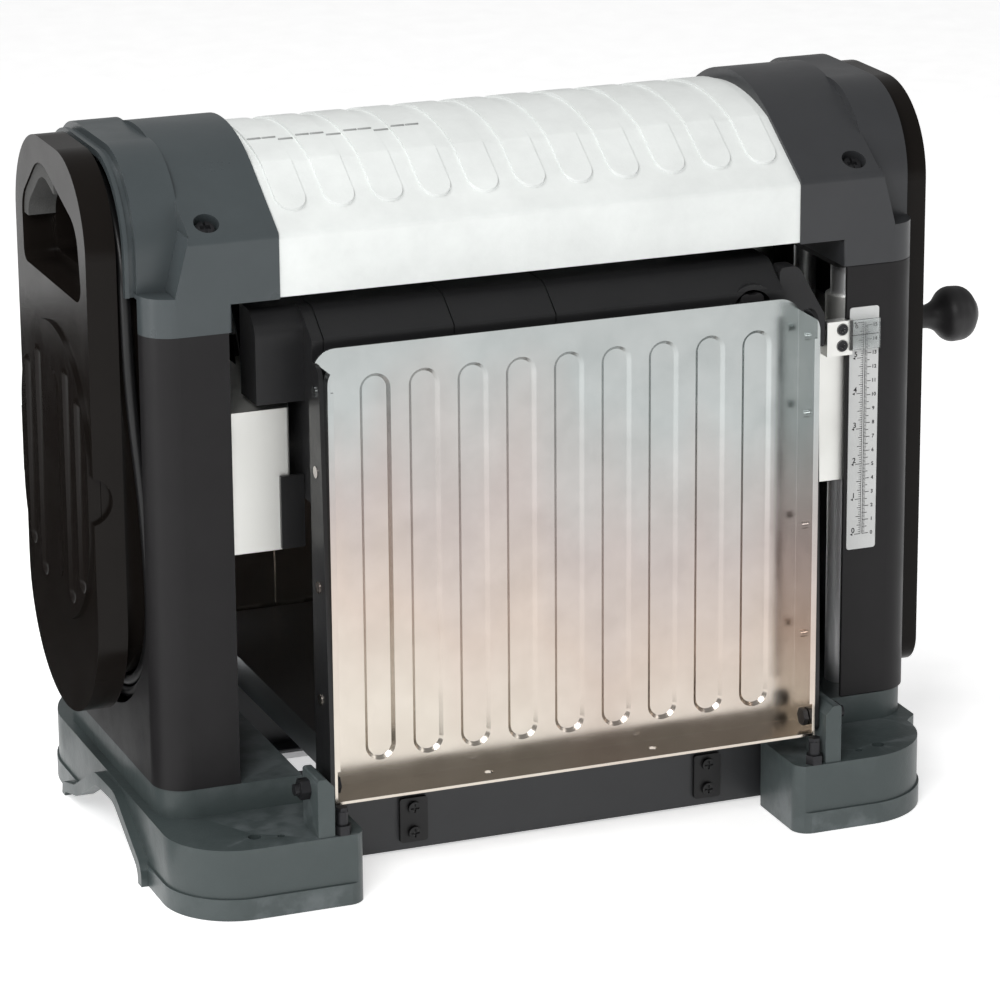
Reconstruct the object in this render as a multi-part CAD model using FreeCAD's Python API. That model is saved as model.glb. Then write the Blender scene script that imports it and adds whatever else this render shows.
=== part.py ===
import FreeCAD, Part
import math
import os

# Thickness planer, benchtop, 330 mm wide stock, both feed tables folded up.
# Millimetres. Origin on the bench top, midway between the four foot bolts.
# +X towards the crank, -Y towards the operator, +Z up.

# ---------------------------------------------------------------- dimensions
FOOT_HALF_Y = 187.5          # front and rear ends of the feet
FOOT_TOP = 49.0
PLINTH_TOP = 15.0            # the feet step in above this height
STEP = 1.5
FOOT_IN_X = 157.0
BASE_IN_X = 178.0
BOLT_X = 228.0               # bench bolts
BOLT_Y = 165.0
BOLT_R = 4.5
COLLAR_TOP = 68.9
COL_HALF_Y = 117.6           # columns, caps and collars share this depth
COL_IN_X = 221.5
COL_OUT_X = 277.0
COL_TOP = 381.0
COL_CORNER_R = 22.0
SHEET = 3.0
BED_HALF_X = 170.0
BED_HALF_Y = 139.0
POST_X = 240.0
POST_Y = 80.0
POST_R = 12.0
SCREW_X = 245.0              # lifting screws
SCREW_R = 8.0
BRACKET_Z0 = 376.0
BRACKET_Z1 = 384.0
CRANK_Z = 407.0
CRANK_ARM = 103.0
CUTTER_Z = 277.0
CUTTER_R = 25.0
ROLLER_Y = 62.0
ROLLER_Z = 265.5
ROLLER_R = 14.0
HINGE_Y = 165.0              # feed table pivots
HINGE_Z = 78.0
LEVEL_Y = 180.5              # stop bolts that a lowered table rests on
TABLE_HALF_X = 174.5
POD_X0 = 286.0               # left side pod, inner and outer faces
POD_X1 = 306.5
POD_HALF_Y = 83.5
CORD_R = 4.0
RUN_FIT = 0.05               # radial clearance of running fits

PARTS = {}


# ------------------------------------------------------------------- helpers
def box(x0, x1, y0, y1, z0, z1):
    low = FreeCAD.Vector(min(x0, x1), min(y0, y1), min(z0, z1))
    return Part.makeBox(abs(x1 - x0), abs(y1 - y0), abs(z1 - z0), low)


def rod(axis, u, v, radius, a, b):
    """Cylinder along an axis; u and v are the two other coordinates in order."""
    low = min(a, b)
    if axis == "x":
        base, way = FreeCAD.Vector(low, u, v), FreeCAD.Vector(1, 0, 0)
    elif axis == "y":
        base, way = FreeCAD.Vector(u, low, v), FreeCAD.Vector(0, 1, 0)
    else:
        base, way = FreeCAD.Vector(u, v, low), FreeCAD.Vector(0, 0, 1)
    return Part.makeCylinder(radius, abs(b - a), base, way)


def ring(axis, u, v, r_in, r_out, a, b):
    return rod(axis, u, v, r_out, a, b).cut(rod(axis, u, v, r_in, min(a, b) - 1, max(a, b) + 1))


def to_space(plane, u, v, w):
    if plane == "xy":
        return FreeCAD.Vector(u, v, w)
    if plane == "yz":
        return FreeCAD.Vector(w, u, v)
    return FreeCAD.Vector(u, w, v)


def rounded_face(plane, points, level):
    """Closed polygon with a fillet radius at each corner, as (u, v, r)."""
    count = len(points)
    corners = []
    for i in range(count):
        p = FreeCAD.Vector(points[i][0], points[i][1], 0)
        before = FreeCAD.Vector(points[i - 1][0], points[i - 1][1], 0)
        after = FreeCAD.Vector(points[(i + 1) % count][0], points[(i + 1) % count][1], 0)
        radius = points[i][2] if len(points[i]) > 2 else 0.0
        if radius <= 0:
            corners.append((p, None, p))
            continue
        to_before = (before - p).normalize()
        to_after = (after - p).normalize()
        half = to_before.getAngle(to_after) / 2
        run = radius / math.tan(half)
        start = p + to_before * run
        end = p + to_after * run
        middle_way = (to_before + to_after).normalize()
        middle = p + middle_way * (radius / math.sin(half) - radius)
        corners.append((start, middle, end))
    edges = []
    for i in range(count):
        start, middle, end = corners[i]
        if middle is not None:
            arc = Part.Arc(*[to_space(plane, q.x, q.y, level) for q in (start, middle, end)])
            edges.append(arc.toShape())
        nxt = corners[(i + 1) % count][0]
        if end.distanceToPoint(nxt) > 1e-4:
            ends = [to_space(plane, q.x, q.y, level) for q in (end, nxt)]
            edges.append(Part.LineSegment(*ends).toShape())
    return Part.Face(Part.Wire(edges))


def prism(plane, points, a, b):
    """Rounded polygon drawn in a plane and extruded from a to b across it."""
    low, high = min(a, b), max(a, b)
    way = to_space(plane, 0, 0, high - low)
    return rounded_face(plane, points, low).extrude(way)


def rounded_box(plane, u0, u1, v0, v1, radius, a, b):
    pts = [(u0, v0, radius), (u1, v0, radius), (u1, v1, radius), (u0, v1, radius)]
    return prism(plane, pts, a, b)


def stadium(plane, u0, u1, v0, v1, a, b):
    radius = min(abs(u1 - u0), abs(v1 - v0)) / 2 - 0.001
    return rounded_box(plane, min(u0, u1), max(u0, u1), min(v0, v1), max(v0, v1), radius, a, b)


def fuse(shapes):
    out = shapes[0]
    if len(shapes) > 1:
        out = out.multiFuse(shapes[1:]).removeSplitter()
    return out


def flip_x(shape):
    return shape.mirror(FreeCAD.Vector(0, 0, 0), FreeCAD.Vector(1, 0, 0))


def flip_y(shape):
    return shape.mirror(FreeCAD.Vector(0, 0, 0), FreeCAD.Vector(0, 1, 0))


def both_y(shapes):
    return shapes + [flip_y(s) for s in shapes]


def both_x(shapes):
    return shapes + [flip_x(s) for s in shapes]


def hexagon(axis, u, v, across, a, b):
    plane = {"x": "yz", "y": "xz", "z": "xy"}[axis]
    r = across / math.sqrt(3)
    turns = [math.radians(60 * k) for k in range(6)]
    return prism(plane, [(u + r * math.cos(t), v + r * math.sin(t)) for t in turns], a, b)


def cone(base, way, r0, r1, length):
    return Part.makeCone(r0, r1, length, FreeCAD.Vector(*base), FreeCAD.Vector(*way))


def keep(name, shapes):
    solids = []
    for shape in shapes:
        solids.extend(shape.Solids)
    PARTS[name] = Part.makeCompound(solids)


# ------------------------------------------------------------ base castings
def footprint(outer, r_front, r_rear, inset, waist):
    """Plan of one base casting; the waist is a wider middle on the crank side."""
    i = inset
    end = FOOT_HALF_Y - i
    pts = [(FOOT_IN_X + i, -end, 12 - i * 0.8), (outer - i, -end, r_front - i)]
    if waist:
        pts += [(outer - i, -130 + i, 4), (waist - i, -121 + i, 4)]
        pts += [(waist - i, 121 - i, 4), (outer - i, 130 - i, 4)]
    pts += [(outer - i, end, r_rear - i), (FOOT_IN_X + i, end, 12 - i * 0.8)]
    pts += [(FOOT_IN_X + i, 122 + i, 6), (BASE_IN_X + i, 116 + i, 3)]
    pts += [(BASE_IN_X + i, -116 - i, 3), (FOOT_IN_X + i, -122 - i, 6)]
    return pts


def base_casting(outer, r_front, r_rear, waist, side_x):
    plan = footprint(outer, r_front, r_rear, 0, waist)
    upper = prism("xy", footprint(outer, r_front, r_rear, STEP, waist), PLINTH_TOP, FOOT_TOP)
    inner = prism("xy", plan, PLINTH_TOP, FOOT_TOP)
    inner = inner.common(box(150, 200, -FOOT_HALF_Y + STEP, FOOT_HALF_Y - STEP, 0, 60))
    body = fuse([prism("xy", plan, 0, PLINTH_TOP), upper, inner])
    collar_pts = [(BASE_IN_X, -COL_HALF_Y), (276, -COL_HALF_Y, 25), (276, COL_HALF_Y, 25),
                  (BASE_IN_X, COL_HALF_Y)]
    collar = prism("xy", collar_pts, FOOT_TOP - 1, COLLAR_TOP)
    # side arch with a raised rim round the opening
    arch = [(-97, -1), (-97, 10, 12), (-42, 39, 26), (-1.5, 37, 26), (48, 10.5, 20),
            (79, 3, 3), (79, -1)]
    rim = [(-105, 0), (-105, 14, 14), (-46, 47, 30), (2, 45.5, 30), (54, 17, 20),
           (84, 9, 4), (86, 0)]
    rim_solid = prism("yz", rim, side_x - 6, side_x + 5)
    lug = prism("xz", [(178.5, FOOT_TOP - 1), (190, FOOT_TOP - 1), (190, 90, 2),
                       (184, 90, 2), (178.5, 84)], -185, -154)
    solid = fuse([body, collar, rim_solid, lug, flip_y(lug)])
    hollow = prism("xy", footprint(outer, r_front, r_rear, 7, waist), -1, FOOT_TOP - 7)
    tower = rounded_box("xy", BASE_IN_X + 8, 268, -109.6, 109.6, 12, 30, COLLAR_TOP - 8)
    window = box(150, 200, -40, 40, 12, 46)
    solid = solid.cut([hollow, tower, window, prism("yz", arch, side_x - 14, side_x + 8)])
    bosses = [rod("z", BOLT_X, y, 11, 0, FOOT_TOP - 1) for y in (-BOLT_Y, BOLT_Y)]
    solid = fuse([solid] + bosses)
    holes = []
    for y in (-BOLT_Y, BOLT_Y):
        holes.append(rod("z", BOLT_X, y, BOLT_R, -1, 60))
        holes.append(rod("z", 211, y * 1.03, 2.6, 30, 60))
        holes.append(rod("x", math.copysign(HINGE_Y, y), HINGE_Z, 4, 170, 200))
        holes.append(rod("z", 172, math.copysign(LEVEL_Y, y), 4, 20, 60))
    for y in (-POST_Y, POST_Y):
        holes.append(rod("z", POST_X, y, POST_R, 50, 80))
    holes.append(rod("z", SCREW_X, 0, SCREW_R + RUN_FIT, 50, 80))
    return solid.cut(holes)


keep("base_left", [flip_x(base_casting(284, 50, 85, 0, 284))])
keep("base_right", [base_casting(270, 55, 55, 280, 280)])

# pressed channels that tie the two castings together, front and rear
channel = [(-113, 2), (-92, 2), (-92, 6), (-108, 6), (-108, 58), (-92, 58), (-92, 62), (-113, 62)]
front_member = prism("yz", channel, -BASE_IN_X, BASE_IN_X)
keep("crossmembers", both_y([front_member]))

bed_lip = [(-BED_HALF_Y, 90), (-BED_HALF_Y, 100, 3), (BED_HALF_Y, 100, 3), (BED_HALF_Y, 90),
           (134, 90), (134, 94), (-134, 94), (-134, 90)]
bed_ribs = [box(-165, 165, y, y + 5, 62, 95) for y in (-113, 108)]
bed_ribs += [box(x, x + 5, -108, 108, 72, 95) for x in (-165, -80, -2.5, 75, 160)]
keep("bed_plate", [fuse([prism("yz", bed_lip, -BED_HALF_X, BED_HALF_X)] + bed_ribs)])

# small black brackets on each cross member, two cross-head screws in each
BRACKET_XS = (-97.8, 120.5)
brackets = []
bracket_screws = []
for bx in BRACKET_XS:
    plate = rounded_box("xz", bx - 10, bx + 10, 8, 40, 2, -116, -113)
    for bz in (15, 33):
        hole = rod("y", bx, bz, 2.5, -117, -112)
        plate = plate.cut(hole)
        head = rod("y", bx, bz, 4.5, -118.5, -116)
        head = head.cut([box(bx - 3, bx + 3, -119, -117.4, bz - 0.6, bz + 0.6),
                         box(bx - 0.6, bx + 0.6, -119, -117.4, bz - 3, bz + 3)])
        bracket_screws.append(fuse([head, rod("y", bx, bz, 2.5, -116.5, -113)]))
    brackets.append(plate)
keep("bed_brackets", both_y(brackets))
keep("bracket_screws", both_y(bracket_screws))

# table pivot bolts: head inside the table flange, nut outside the lug
pivot_bolts = []
for sign in (-1, 1):
    pin = rod("x", -HINGE_Y, HINGE_Z, 4, 172, 200)
    head = hexagon("x", -HINGE_Y, HINGE_Z, 11, 168.5, 172)
    bolt = fuse([pin, head])
    nut = hexagon("x", -HINGE_Y, HINGE_Z, 13, 190, 196.5)
    nut = nut.cut(rod("x", -HINGE_Y, HINGE_Z, 4, 180, 210))
    pair = both_y([bolt, nut])
    pivot_bolts += pair if sign > 0 else [flip_x(s) for s in pair]
keep("table_pivot_bolts", pivot_bolts)

# table levelling bolts standing in the feet
levelling = []
for sx in (-1, 1):
    stem = rod("z", sx * 172, -LEVEL_Y, 4, 42, 65)
    nut = hexagon("z", sx * 172, -LEVEL_Y, 11, FOOT_TOP, 55.5)
    levelling.append(fuse([stem, nut, hexagon("z", sx * 172, -LEVEL_Y, 7, 64, 67.7)]))
keep("levelling_bolts", both_y(levelling))

# ---------------------------------------------------------- columns and posts
GROOVE_HALF_Y = 97.0         # oval cord recess in the left column
GROOVE_Z0 = 100.0
GROOVE_X = 259.0
NECK_HALF_Y = 77.0
TURN_Z0 = 197.0              # centres of the cord's lower and upper half turns
TURN_Z1 = 396.0


def column_shape(t):
    low = COLLAR_TOP - (1 if t else 0)
    high = COL_TOP + (1 if t else 0)
    inner = COL_IN_X - (1 if t else 0)
    r = COL_CORNER_R - t
    pts = [(inner, -COL_HALF_Y + t), (COL_OUT_X - t, -COL_HALF_Y + t, r),
           (COL_OUT_X - t, COL_HALF_Y - t, r), (inner, COL_HALF_Y - t)]
    return prism("xy", pts, low, high)


def groove_shape(t):
    """Oval recess that takes the wound cord, with a pocket at the rear for its plug."""
    half = GROOVE_HALF_Y + t
    r = half - 0.05
    x0 = GROOVE_X - t
    pts = [(-half, GROOVE_Z0 - t, r), (half, GROOVE_Z0 - t, r), (half, 420), (-half, 420)]
    pocket = box(x0, 280, 88, 122, 190 - t, 316 + t)
    return fuse([prism("yz", pts, x0, 280), pocket])


plain_column = column_shape(0).cut(column_shape(SHEET))
keep("right_column_cover", [plain_column])
left_skin = column_shape(0).cut(groove_shape(0))
left_room = column_shape(SHEET).cut(groove_shape(SHEET))
keep("left_column_cover", [flip_x(left_skin.cut(left_room))])

posts = [rod("z", POST_X, y, POST_R, 52, BRACKET_Z1) for y in (-POST_Y, POST_Y)]
keep("guide_posts", both_x(posts))


def top_bracket():
    plate = rounded_box("xy", 222, 255, -102, 102, 6, BRACKET_Z0, BRACKET_Z1)
    holes = [rod("z", POST_X, y, POST_R, 370, 390) for y in (-POST_Y, POST_Y)]
    holes.append(rod("z", SCREW_X, 0, SCREW_R + RUN_FIT, 370, 390))
    return plate.cut(holes)


bearing_block = box(264, 270, -26, 26, BRACKET_Z0, 428)
bearing_foot = box(250, 270, -26, -16, BRACKET_Z0, BRACKET_Z1)
right_bracket = fuse([top_bracket(), bearing_block, bearing_foot, flip_y(bearing_foot)])
right_bracket = right_bracket.cut(rod("x", 0, CRANK_Z, SCREW_R + RUN_FIT, 260, 275))
keep("top_brackets", [flip_x(top_bracket()), right_bracket])

# ---------------------------------------------------------------- end caps
CAP_SLOPE = 36 / 55.6
CAP_APEX = 520.1
CAP_CROWN_R = 118.3
BAND_HALF_Y = 95.0
BAND_TOP = 494.0
CAP_SCREW_AT = (231.0, -105.0, 452.2)


def cap_profile(t, z0):
    half = COL_HALF_Y - t
    apex = CAP_APEX - t * math.hypot(1, CAP_SLOPE)
    shoulder = apex - CAP_SLOPE * half
    r = 6 - min(t, 3)
    return [(-half, z0), (-half, shoulder, r), (0, apex, CAP_CROWN_R - t), (half, shoulder, r),
            (half, z0)]


def band(half, top, r, z0, a, b):
    return prism("yz", [(-half, z0), (-half, top, r), (half, top, r), (half, z0)], a, b)


def foot_block(t, z0, z1):
    r = COL_CORNER_R - t
    half = COL_HALF_Y - t
    pts = [(219 + t, -half, 2), (277 - t, -half, r), (277 - t, half, r), (219 + t, half, 2)]
    return prism("xy", pts, z0, z1)


def along_slope(point, depth):
    """Point at a depth below the cap's front slope."""
    n = math.hypot(1, CAP_SLOPE)
    return (point[0], point[1] + depth * CAP_SLOPE / n, point[2] - depth / n)


def slope_rod(radius, d0, d1):
    n = math.hypot(1, CAP_SLOPE)
    base = along_slope(CAP_SCREW_AT, d1)
    way = FreeCAD.Vector(0, -CAP_SLOPE / n, 1 / n)
    return Part.makeCylinder(radius, d1 - d0, FreeCAD.Vector(*base), way)


def end_cap(hooded):
    end = 276 if hooded else 277
    outer = [prism("yz", cap_profile(0, 400), 186, 246), band(BAND_HALF_Y, BAND_TOP, 62, 400, 245, end)]
    wedge = prism("xz", [(239, 402), (257, 402), (257, 408, 3), (247, 446), (239, 446)], -118, 118)
    outer.append(wedge.common(prism("yz", cap_profile(0, 400), 238, 260)))
    outer.append(foot_block(0, COL_TOP, 407))
    if hooded:
        outer.append(band(90.5, 489, 60, 404, 275, 283))
        outer.append(band(92, 490.5, 61, 404, 280, 283))
    solid = fuse(outer)
    room_end = 256 if hooded else 274
    rooms = [prism("yz", cap_profile(3, 398), 189, 243),
             band(92, 491, 59, 398, 249, room_end),
             band(92, 491, 59, 398, 240, 250).common(prism("yz", cap_profile(3, 398), 240, 250)),
             foot_block(3, COL_TOP - 1, 404).common(box(180, room_end, -120, 120, 370, 410))]
    if hooded:
        rooms.append(band(87.5, 486, 57, 398, GROOVE_X, 290))
        rooms.append(box(GROOVE_X, 280, -GROOVE_HALF_Y, GROOVE_HALF_Y, 380, 404.01))
    else:
        rooms.append(rod("x", 0, CRANK_Z, 8.6, 260, 280))
    solid = solid.cut(rooms)
    bosses = both_y([slope_rod(11.5, 2, 16)])
    holes = both_y([slope_rod(8.5, -6, 9), slope_rod(3, 8, 18)])
    return fuse([solid] + bosses).cut(holes)


keep("right_end_cap", [end_cap(False)])
keep("left_end_cap", [flip_x(end_cap(True))])

cap_screw = fuse([slope_rod(6, 4, 9), slope_rod(3, 9, 17)])
cross = slope_rod(6, 3.5, 6).common(fuse([box(226, 236, -115, -95, 440, 460)
                                          .common(box(230.2, 231.8, -115, -95, 430, 470)),
                                          box(227.5, 234.5, -104.2, -101, 440, 460)]))
cap_screw = cap_screw.cut(cross)
keep("cap_screws", both_x(both_y([cap_screw])))

# --------------------------------------------------------------- top cover
COVER_X = 186.0
COVER_HALF_Y = 116.6
RIB_COUNT = 11
RIB_PITCH = 33.7
RIB_WIDTH = 21.0


def cover_profile(t):
    """Folded cover section, offset outwards by t."""
    skirt = COVER_HALF_Y + t
    k1 = math.tan(math.radians(16.5)) * t
    k2 = math.tan(math.radians(6.5)) * t
    return [(-skirt, 401), (-skirt, 441.5 + k1, 4), (-62 - k2, 477 + t, 6),
            (0, 499.6 + 1.064 * t, 172 + t), (62 + k2, 477 + t, 6), (skirt, 441.5 + k1, 4),
            (skirt, 401)]


def cover_solid(t):
    return prism("yz", cover_profile(t), -COVER_X, COVER_X)


sheet = cover_solid(0)
inside = prism("yz", [(p[0], p[1] - (2 if p[1] < 402 else 0)) + tuple(p[2:])
                      for p in cover_profile(-2.0)], -COVER_X - 1, COVER_X + 1)
sheet = sheet.cut(inside)
rib_skin = cover_solid(1.8).cut(cover_solid(-1.0))
rib_plans = []
for i in range(RIB_COUNT):
    cx = (i - (RIB_COUNT - 1) / 2) * RIB_PITCH
    rib_plans.append(stadium("xy", cx - RIB_WIDTH / 2, cx + RIB_WIDTH / 2, -99, 99, 430, 520))
ribs = [rib_skin.common(plan) for plan in rib_plans]
keep("top_cover", [fuse([sheet] + ribs)])

# ------------------------------------------------------------ left side pod
LID_HALF_Y = 79.0
LID_Z0 = 163.5
LID_Z1 = 368.0
LID_BACK_X = 300.5
LID_FACE_X = 309.0           # the lid stands proud of the pod
LID_GAP = 0.3
LID_AXIS_Y = 80.0            # hinge line, on the pod face behind the lid
KNUCKLE_R = 2.4
KNUCKLE_Z = (243.0, 251.0, 281.0, 289.0)
HAND_HOLE = [(-72, 396, 12), (66, 396, 8), (67, 440, 22), (22, 477, 34), (-64, 447, 24)]
HAND_INNER = [(-64, 404, 8), (56, 404, 8), (57, 436, 16), (20, 466, 26), (-58, 440, 18)]


def pod_outline(half, z0, z1, r0, r1):
    return [(-half, z0, r0), (half, z0, r0), (half, z1, r1), (-half, z1, r1)]


def lid_outline(grow):
    half = LID_HALF_Y + grow
    return pod_outline(half, LID_Z0 - grow, LID_Z1 + grow, half - 0.01, half - 0.01)


slab = prism("yz", pod_outline(POD_HALF_Y, 97, 490, POD_HALF_Y - 0.1, 62), POD_X0, POD_X1)
neck_out = pod_outline(NECK_HALF_Y, TURN_Z0 - NECK_HALF_Y, TURN_Z1 + NECK_HALF_Y, 76.9, 76.9)
neck = prism("yz", neck_out, GROOVE_X, POD_X0)
tool_room = prism("yz", pod_outline(70, 172, 360, 69.9, 69.9), GROOVE_X + 3, 302)
lid_seat = prism("yz", lid_outline(LID_GAP), LID_BACK_X - LID_GAP, 308)
hand_room = fuse([prism("yz", HAND_HOLE, POD_X0, 308), prism("yz", HAND_INNER, GROOVE_X + 5, 288)])
finger_notch = rod("y", 310, 266, 16.5, -90, -LID_HALF_Y - 0.2)
boot_seat = box(274.5, POD_X0, 74, 90, 168, TURN_Z0)
z_a, z_b, z_c, z_d = KNUCKLE_Z
lid_pins = [rod("z", POD_X1, LID_AXIS_Y, 1, a, b) for a, b in ((z_a, 265), (267, z_d))]
knuckles = [rod("z", POD_X1, LID_AXIS_Y, KNUCKLE_R, a, b) for a, b in ((z_a, z_b), (z_c, z_d))]
knuckle_room = rod("z", POD_X1, LID_AXIS_Y, KNUCKLE_R + 0.4, z_b, z_c)
pod = fuse([slab, neck])
pod = pod.cut([tool_room, lid_seat, hand_room, finger_notch, boot_seat, knuckle_room])
pod = fuse([pod] + knuckles).cut(lid_pins)
keep("left_pod", [flip_x(pod)])
keep("lid_hinge_pins", [flip_x(s) for s in lid_pins])

lid = fuse([prism("yz", lid_outline(0), LID_BACK_X, LID_FACE_X),
            stadium("yz", -13, 13, 190, 337, LID_FACE_X - 1, LID_FACE_X + 0.7)])
lid = lid.cut([rod("z", POD_X1, LID_AXIS_Y, KNUCKLE_R + 0.4, a - 0.3, b + 0.3)
               for a, b in ((z_a, z_b), (z_c, z_d))])
lid = fuse([lid, rod("z", POD_X1, LID_AXIS_Y, KNUCKLE_R, z_b + 0.3, z_c - 0.3)])
# round-bottomed flutes, two on each side of the raised middle
FLUTE_R = 12.0
flutes = []
for y, z0, z1 in ((-59, 204, 324), (-33, 189, 338), (33, 189, 338), (59, 204, 324)):
    axis_x = LID_FACE_X + 9.4
    flutes.append(rod("z", axis_x, y, FLUTE_R, z0, z1))
    flutes.extend(Part.makeSphere(FLUTE_R, FreeCAD.Vector(axis_x, y, z)) for z in (z0, z1))
pin_hole = rod("z", POD_X1, LID_AXIS_Y, 1 + RUN_FIT, 240, 292)
keep("toolbox_lid", [flip_x(lid.cut([fuse(flutes), pin_hole]))])

# soft lining of the carrying hole, along its top and rear
lining = prism("yz", HAND_HOLE, POD_X0, 305).cut(prism("yz", HAND_INNER, 260, 310))
keep("pod_grip", [flip_x(lining.cut(box(250, 310, -90, -8, 380, 480))
                         .cut(box(250, 310, -90, 90, 380, 428)))])

# --------------------------------------------------------------- mains cord
CORD_OUT = 280.5             # lanes of the two turns, across the groove
CORD_IN = 268.5
TURN_R = 82.0
WIDE_R = 90.2                # the last half turn lies over the first
CORD_END = (CORD_IN, 98.5, 254.0)


def half_turn(x, r, z, way):
    """Four corners of the route round one end of the oval; way is +1 at the top."""
    corner = r / math.cos(math.radians(22.5))
    points = []
    for degrees in (22.5, 67.5, 112.5, 157.5):
        a = math.radians(degrees)
        points.append((x, way * corner * math.cos(a), z + way * corner * math.sin(a)))
    return points


def bent_path(points):
    """Straight runs joined by tangent arcs, each as large as its two runs allow."""
    corners = [FreeCAD.Vector(*p) for p in points]
    edges = []
    radii = []
    here = corners[0]
    for before, p, after in zip(corners, corners[1:], corners[2:]):
        back = before - p
        on = after - p
        reach = 0.45 * min(back.Length, on.Length)
        half = back.getAngle(on) / 2
        radius = reach * math.tan(half)
        back.normalize()
        on.normalize()
        start = p + back * reach
        end = p + on * reach
        middle = p + (back + on).normalize() * (radius / math.sin(half) - radius)
        edges.append(Part.LineSegment(here, start).toShape())
        edges.append(Part.Arc(start, middle, end).toShape())
        radii.append(round(radius))
        here = end
    edges.append(Part.LineSegment(here, corners[-1]).toShape())
    return Part.Wire(edges), radii


cord_points = [(CORD_OUT, TURN_R, TURN_Z0), (CORD_OUT, TURN_R, 272), (CORD_OUT, 83.5, 351)]
cord_points += half_turn(CORD_OUT, TURN_R, TURN_Z1, 1)
cord_points += [(280, -83, 341), (271, -82.4, 252)]
cord_points += half_turn(CORD_IN, TURN_R, TURN_Z0, -1)
cord_points += [(CORD_IN + 2, 82.3, 252), (CORD_IN, 83, 341)]
cord_points += half_turn(CORD_IN, TURN_R, TURN_Z1, 1)
cord_points += [(CORD_IN, -83, 372), (CORD_IN, -89.5, 305), (CORD_IN, -90.6, 235)]
cord_points += half_turn(CORD_IN, WIDE_R, TURN_Z0, -1)
cord_points += [(CORD_IN, WIDE_R, 214), (CORD_IN, CORD_END[1], 237), CORD_END]
cord_path, cord_radii = bent_path(cord_points)
cord_end = Part.Wire(Part.makeCircle(CORD_R, FreeCAD.Vector(*cord_points[0]),
                                     FreeCAD.Vector(0, 0, 1)))
cord = cord_path.makePipeShell([cord_end], True, True)
print("cord bend radii", cord_radii)
print("cord length", round(cord_path.Length, 1), "volume ratio",
      round(cord.Volume / (math.pi * CORD_R ** 2 * cord_path.Length), 4))
keep("mains_cord", [flip_x(cord)])
keep("cord_boot", [flip_x(boot_seat)])
plug_y = CORD_END[1]
plug_body = rounded_box("xy", 260.5, 284.5, plug_y - 8.5, plug_y + 8.5, 5, 262, 295)
plug_tail = cone(CORD_END, (0, 0, 1), 5.5, 7, 8)
plug_pins = [rod("z", x, plug_y, 2.4, 295, 312) for x in (265, 280)]
keep("mains_plug", [flip_x(s) for s in [plug_body, plug_tail] + plug_pins])

# ----------------------------------------------------------- right side pod
right_skin = prism("yz", pod_outline(85.5, 72, 490, 22, 62), 277, 296)
right_room = prism("yz", pod_outline(82.5, 75, 487, 19, 59), 276, 293)
right_skin = right_skin.cut([right_room, rod("x", 0, CRANK_Z, 8.6, 280, 300)])
keep("right_pod", [right_skin])

# ------------------------------------------------------------ crank and knob
KNOB_Z = CRANK_Z - CRANK_ARM
arm = fuse([stadium("yz", -11, 11, KNOB_Z - 11, CRANK_Z + 13, 301, 308),
            rod("x", 0, CRANK_Z, 16, 296.6, 309), rod("x", 0, KNOB_Z, 12, 301, 310)])
arm = arm.cut([rod("x", 0, CRANK_Z, SCREW_R, 290, 320), rod("x", 0, KNOB_Z, 4, 290, 320)])
keep("crank_arm", [arm])
keep("crank_knob_pin", [fuse([rod("x", 0, KNOB_Z, 4, 299, 350), rod("x", 0, KNOB_Z, 7, 298, 301)])])
knob_pts = [(310.6, KNOB_Z), (310.6, KNOB_Z + 10.5, 2), (330, KNOB_Z + 8.4, 40),
            (345.5, KNOB_Z + 8.4, 16), (356.5, KNOB_Z + 20.3, 11), (372, KNOB_Z + 19.5, 12),
            (380, KNOB_Z + 8, 9), (380, KNOB_Z)]
knob_face = rounded_face("xz", knob_pts, 0)
knob = knob_face.revolve(FreeCAD.Vector(0, 0, KNOB_Z), FreeCAD.Vector(1, 0, 0), 360)
knob = knob.cut(rod("x", 0, KNOB_Z, 4 + RUN_FIT, 300, 351))
keep("crank_knob", [knob])

# -------------------------------------------- lifting screws, bevels, chain
GEAR_R = 14.8
GEAR_TEETH = 16


def bevel(apex, way, hub):
    """Bevel wheel whose pitch cone runs to the apex; way points at the apex."""
    ax = FreeCAD.Vector(*way)
    back = FreeCAD.Vector(*apex) - ax * 15
    blank = fuse([Part.makeCone(GEAR_R, GEAR_R - 6, 6, back, ax),
                  Part.makeCylinder(11, hub, back - ax * hub, ax)])
    side = FreeCAD.Vector(0, 1, 0)
    slant = (ax - side).normalize()
    notch = Part.makeCylinder(1.3, 14, back + side * (GEAR_R + 0.6) - slant * 2, slant)
    notches = []
    for k in range(GEAR_TEETH):
        tooth = notch.copy()
        tooth.rotate(back, ax, 360 * k / GEAR_TEETH)
        notches.append(tooth)
    return blank.cut(notches)


def sprocket(x):
    disc = ring("z", x, 0, SCREW_R, 18, 27.5, 32.5)
    gaps = []
    for k in range(12):
        t = math.radians(30 * k)
        gaps.append(rod("z", x + 18.6 * math.cos(t), 18.6 * math.sin(t), 2.6, 20, 40))
    return fuse([disc.cut(gaps), ring("z", x, 0, SCREW_R, 12, 24, 36)])


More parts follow.
